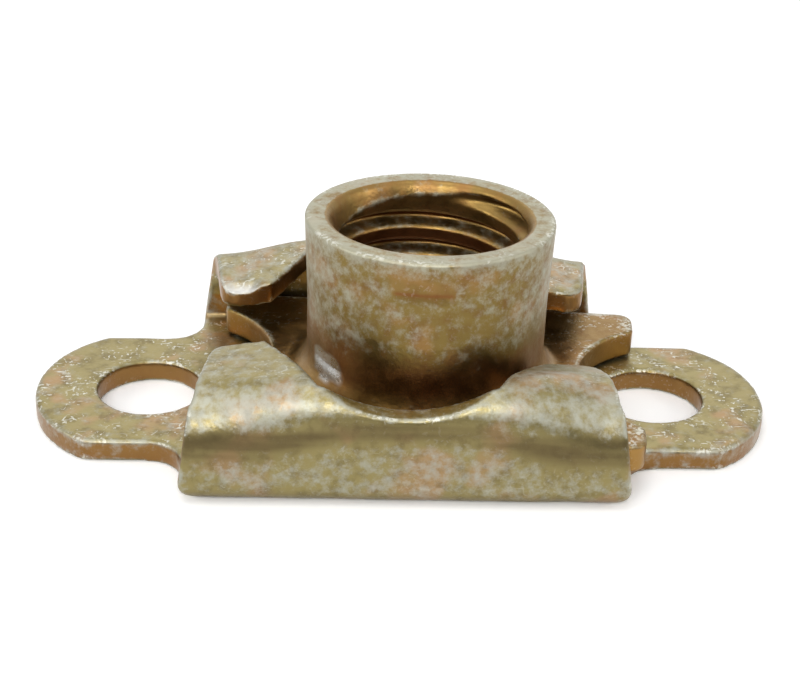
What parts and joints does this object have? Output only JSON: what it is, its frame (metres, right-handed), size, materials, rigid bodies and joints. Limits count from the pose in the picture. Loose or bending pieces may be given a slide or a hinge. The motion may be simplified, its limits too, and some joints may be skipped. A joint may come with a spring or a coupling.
{
  "type": "floating anchor nut",
  "caption": "Sheet-metal cage with rivet lugs and folded-over lobes that hold a flanged threaded barrel, free to float sideways.",
  "frame": {"origin": "middle of the two rivet holes, on the underside of the cage, which is also the middle of the box's bottom", "axes": "+X along the rivet pattern, towards the side that the nut has floated to; +Y across the folded walls; +Z along the thread, from the fixed face to the barrel's mouth"},
  "size_m": [0.029, 0.0142, 0.0086],
  "materials": {
    "cage_steel": "stamped sheet steel, yellow-passivated zinc plating, olive-gold with pale worn patches",
    "nut_steel": "turned steel, yellow-passivated zinc plating, golden brown with grey-white worn patches"
  },
  "bodies": {
    "cage": {"cage": "cage_steel"},
    "nut": {"nut": "nut_steel"}
  },
  "joints": [
    {"name": "nut_float", "type": "slide", "parent": "cage", "child": "nut", "axis": [1, 0, 0], "range_m": [-0.00196, 0.00024]}
  ]
}
